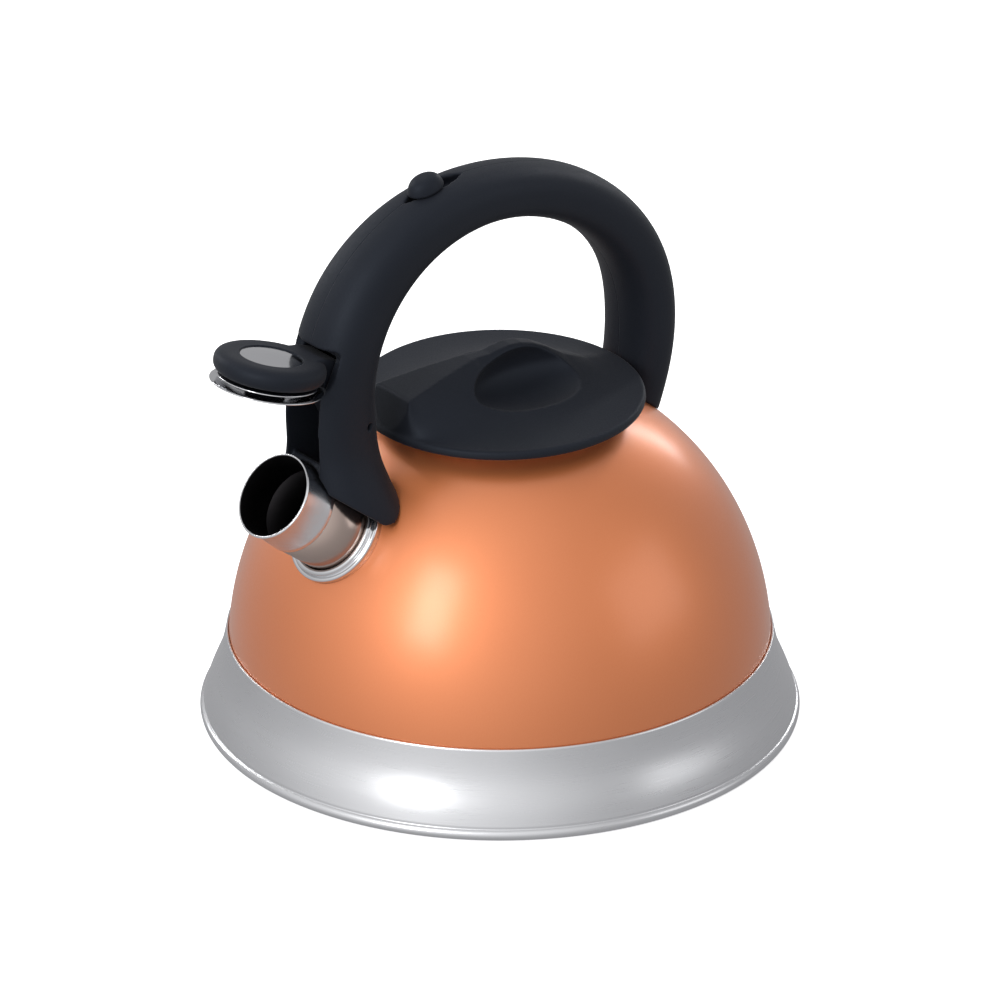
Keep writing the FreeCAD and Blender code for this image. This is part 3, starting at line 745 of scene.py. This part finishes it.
def make_lid():
    """The moulded lid: flanks that sweep down from a flat crest to a round edge, with two scoops."""
    sweep = [LID_TOP_RADIUS * math.sin(math.radians(a)) for a in np.arange(-88.5, 89, 1.5)]
    rows = sorted({round(f, 3) for f in [f for f, _ in LID_CREST[1:-1]] + sweep})
    flat = 6
    side = 44
    points = []
    for forward in rows:
        edge = math.sqrt(LID_TOP_RADIUS ** 2 - forward ** 2)
        half = facet_half(forward)
        top = read_line(LID_CREST, forward)
        line = [(half * i / flat, top) for i in range(flat + 1)]
        for i in range(1, side + 1):
            t = (i / side) ** 1.2
            line.append((half + (edge - half) * t, LID_EDGE_Z + (top - LID_EDGE_Z) * (1 - t) ** LID_SWEEP))
        for lateral, height in [(-l, h) for l, h in line[:0:-1]] + line:
            points.append(at(forward, height, lateral))
    across = 2 * (flat + side) + 1
    faces = []
    for i in range(len(rows) - 1):
        for k in range(across - 1):
            a = i * across + k
            faces.append((a, a + 1, a + across + 1, a + across))
    lid = make_object("lid", points, faces)
    close_lid(lid)
    for sign in (-1, 1):
        cut(lid, scoop_cutter(sign))
    soften(lid, voxel=0.5, rounds=3)
    finish_piece(lid, "soft_black", "lid", "soft_black", "lid_cap")


def close_lid(lid):
    """Add the rim's side and the underside to the lid's top surface."""
    mesh = bmesh.new()
    mesh.from_mesh(lid.data)
    for radius, height in LID_RIM_STEPS:
        edges = [e for e in mesh.edges if e.is_boundary]
        new = bmesh.ops.extrude_edge_only(mesh, edges=edges)["geom"]
        for vert in [g for g in new if isinstance(g, bmesh.types.BMVert)]:
            reach = math.hypot(vert.co.x, vert.co.y)
            vert.co.x *= radius * MM / reach
            vert.co.y *= radius * MM / reach
            vert.co.z = height * MM
    bmesh.ops.holes_fill(mesh, edges=[e for e in mesh.edges if e.is_boundary])
    mesh.to_mesh(lid.data)
    mesh.free()
    tidy(lid)


def scoop_cutter(sign):
    """An egg-shaped hollow for the fingertips, deep under the grip and shallow towards the rim."""
    centre = (-4.0, 136.5, 16.0 * sign)
    long_half = 26.0
    wide_half = 15.0
    high = 14.0
    deep = 8.0
    points = []
    rows = 32
    around = 64
    for i in range(rows + 1):
        tilt = math.pi * (i / rows - 0.5)
        for k in range(around):
            angle = 2 * math.pi * k / around
            reach = math.cos(tilt)
            rise = math.sin(tilt) * (high if tilt > 0 else deep)
            points.append(at(centre[0] + long_half * reach * math.cos(angle), centre[1] + rise,
                             centre[2] + wide_half * reach * math.sin(angle)))
    piece = make_object("scoop", points, ring_faces(rows + 1, around))
    tidy(piece)
    return piece


# ---- flap ----
CAP_LOW = 3.6
CAP_TOP = 11.4
CAP_ROUND = 5.0
INSERT_RADIUS = 11.6
INSERT_CROWN = 60.0
ARM_HALF = 8.5
ARM_OUTLINE = [
    (92, 160.6), (90.5, 168.6), (86, 168.2), (79.5, 165.6), (73.5, 159.4), (65.6, 142),
    (66.4, 136.4), (70, 134.0), (75.2, 136.2), (81, 148), (86.4, 156.9),
]


def make_cap():
    """The black cap with its stem and the lever arm down to the pin, moulded as one."""
    outer = FLAP_RADIUS - 0.3
    middle = (CAP_LOW + CAP_TOP) / 2
    half = (CAP_TOP - CAP_LOW) / 2
    side = []
    for i in range(33):
        angle = math.pi * (0.5 - i / 32)
        c = math.cos(angle)
        s = math.sin(angle)
        height = middle + half * math.copysign(abs(s) ** 0.8, s)
        side.append((outer - CAP_ROUND + CAP_ROUND * c ** 0.8, height))
    profile = [(0, CAP_TOP - 0.3), (10, CAP_TOP - 0.2)] + side + [(0, CAP_LOW)]
    cap = on_flap(lathe("flap", profile, 160))
    combine(cap, on_flap(solid_disc("stem", 7.0, 0.7, CAP_LOW + 1)), "UNION")
    arm = plate("arm", ARM_OUTLINE, -ARM_HALF, ARM_HALF)
    cut(arm, on_flap(solid_disc("plates_room", FLAP_RADIUS + 0.2, -1.5, CAP_LOW - 0.4)))
    combine(cap, arm, "UNION")
    soften(cap, voxel=0.5, rounds=4)
    cut(cap, on_flap(solid_disc("dish", INSERT_RADIUS + 0.15, CAP_TOP - 1.4, CAP_TOP + 4)))
    set_smooth(cap)
    finish_piece(cap, "soft_black", "flap", "soft_black", "flap_cap")


def make_insert():
    """The slightly crowned steel button in the cap's top."""
    centre = CAP_TOP + 0.6 - INSERT_CROWN
    radii = [INSERT_RADIUS * i / 24 for i in range(25)]
    crown = [(r, centre + math.sqrt(INSERT_CROWN ** 2 - r ** 2)) for r in radii]
    edge = [(INSERT_RADIUS, crown[-1][1] - 0.3), (INSERT_RADIUS, CAP_TOP - 1.2), (0, CAP_TOP - 1.2)]
    insert = on_flap(lathe("insert", crown + edge, 128))
    finish_piece(insert, "bright_steel", "flap", "polished_steel", "flap_insert")


def make_whistle():
    """The two pierced discs: the lower one shuts on the spout's mouth."""
    radius = FLAP_RADIUS
    lower = [
        (1.2, 0.0), (radius - 0.5, 0.0), (radius - 0.1, 0.12), (radius, 0.35),
        (radius - 0.1, 0.6), (radius - 0.5, 0.7), (1.2, 0.7),
    ]
    plate_low = on_flap(lathe("whistle_lower", lower, 160))
    finish_piece(plate_low, "bright_steel", "flap", "polished_steel", "whistle_plate_lower")
    reach = radius - 2.2
    upper = [(7.0, 2.2), (reach - 0.4, 2.2), (reach, 2.5), (reach - 0.4, 2.8), (7.0, 2.8)]
    plate_up = on_flap(lathe("whistle_upper", upper, 160))
    finish_piece(plate_up, "bright_steel", "flap", "polished_steel", "whistle_plate_upper")


# ---- thumb knob ----
def make_knob():
    """A pebble on a short neck that goes down into the handle's slot."""
    long_half = 7.4
    wide_half = 5.6
    low = -0.2
    high = 5.5
    rows = 24
    around = 48
    points = []
    for i in range(rows + 1):
        t = i / rows
        height = low + (high - low) * (1 - math.cos(math.pi * t)) / 2
        swell = (1 - t ** 2.6) ** 0.62 * min(1.0, 6 * t) ** 0.4
        for k in range(around):
            angle = 2 * math.pi * k / around
            points.append((long_half * swell * math.cos(angle), wide_half * swell * math.sin(angle), height))
    knob = make_object("knob", points, ring_faces(rows + 1, around))
    tidy(knob)
    neck = box_piece("neck", (-3.5, -2.0, -7.0), (3.5, 2.0, 2.5))
    combine(knob, neck, "UNION")
    placed(knob, KNOB_SEAT, KNOB_TILT)
    soften(knob, voxel=0.35, rounds=3)
    finish_piece(knob, "soft_black", "trigger", "soft_black", "thumb_button")


# ---- studio ----
FLOOR_HALF = 4000.0
# How bright the surroundings are, from the side away from the window to the side towards it.
WINDOW_DIRECTION = (-0.68, -0.25, 0.52)
WORLD_STOPS = [
    (0.0, (0.40, 0.40, 0.41)),
    (0.40, (0.46, 0.46, 0.47)),
    (0.70, (0.60, 0.60, 0.61)),
    (1.0, (1.15, 1.15, 1.16)),
]
LIGHT_TARGET = (0, 0, 0.08)
CAMERA_TARGET = (0, 0, 0.08355)
CAMERA_AZIMUTH = -38.0
CAMERA_ELEVATION = 25.85
CAMERA_DISTANCE = 4.49
CAMERA_LENS = 443.9


def area_light(name, place, target, size, power):
    data = bpy.data.lights.new(name, "AREA")
    data.shape = "RECTANGLE"
    data.size, data.size_y = size
    data.energy = power
    lamp = bpy.data.objects.new(name, data)
    bpy.context.scene.collection.objects.link(lamp)
    lamp.location = place
    lamp.rotation_euler = (Vector(target) - Vector(place)).to_track_quat("-Z", "Y").to_euler()
    return lamp


def make_floor():
    """A pale floor that glows a little, so that it comes out white, and throws no light on the kettle."""
    half = FLOOR_HALF
    floor = make_object("floor", [(-half, -half, 0), (half, -half, 0), (half, half, 0), (-half, half, 0)],
                        [(0, 1, 2, 3)])
    material, tree, shader = new_material("floor")
    cloud = noise(tree, 3.0, 2.0)
    colour = ramp(tree, cloud, [(0.3, (0.86, 0.86, 0.86)), (0.7, (0.88, 0.88, 0.88))])
    tree.links.new(colour, shader.inputs["Base Color"])
    shader.inputs["Roughness"].default_value = 0.8
    shader.inputs["Specular IOR Level"].default_value = 0.1
    shader.inputs["Emission Color"].default_value = (1, 1, 1, 1)
    shader.inputs["Emission Strength"].default_value = 0.6
    floor.data.materials.append(material)
    floor.visible_glossy = False
    floor.visible_diffuse = False


def make_world():
    world = bpy.data.worlds.new("studio")
    world.use_nodes = True
    tree = world.node_tree
    place = tree.nodes.new("ShaderNodeTexCoord")
    towards = tree.nodes.new("ShaderNodeVectorMath")
    towards.operation = "DOT_PRODUCT"
    towards.inputs[1].default_value = Vector(WINDOW_DIRECTION).normalized()
    tree.links.new(place.outputs["Generated"], towards.inputs[0])
    amount = remap(tree, towards.outputs["Value"], 0.0, 1.0, -1.0, 1.0)
    background = tree.nodes["Background"]
    tree.links.new(ramp(tree, amount, WORLD_STOPS), background.inputs["Color"])
    background.inputs["Strength"].default_value = 1.0
    bpy.context.scene.world = world


def make_lights():
    overhead = area_light("overhead", (0.3, 0.4, 1.6), (0, 0, 0.1), (1.8, 1.8), 14)
    overhead.visible_glossy = False
    area_light("key", (-1.76, -0.60, 1.15), LIGHT_TARGET, (0.6, 1.1), 12.5)
    area_light("fill", (1.1, -1.5, 0.75), LIGHT_TARGET, (1.2, 0.9), 3)
    area_light("left_strip", (-0.4, 1.8, 0.9), LIGHT_TARGET, (0.16, 1.0), 6)
    area_light("right_strip", (1.65, 0.55, 0.8), LIGHT_TARGET, (0.16, 1.0), 4)


def make_camera():
    """A long lens that looks down past the spout's left side."""
    azimuth = math.radians(CAMERA_AZIMUTH)
    elevation = math.radians(CAMERA_ELEVATION)
    back = Vector((math.sin(azimuth) * math.cos(elevation), -math.cos(azimuth) * math.cos(elevation),
                   math.sin(elevation)))
    data = bpy.data.cameras.new("camera")
    data.sensor_width = 36.0
    data.lens = CAMERA_LENS
    data.clip_end = 50.0
    camera = bpy.data.objects.new("camera", data)
    bpy.context.scene.collection.objects.link(camera)
    camera.location = Vector(CAMERA_TARGET) + back * CAMERA_DISTANCE
    camera.rotation_euler = (-back).to_track_quat("-Z", "Y").to_euler()
    bpy.context.scene.camera = camera


bpy.context.scene.view_settings.view_transform = "Standard"
make_camera()
make_floor()
make_world()
make_lights()
make_dome()
make_skirt()
make_spout()
make_collar()
make_handle()
make_lid()
make_cap()
make_insert()
make_whistle()
make_knob()

for entry in frame["record"]["subparts"]:
    node = frame["nodes"][entry["node"]]
    node.data.materials.clear()
    node.data.materials.append(MATERIALS[entry["material_slot"]])
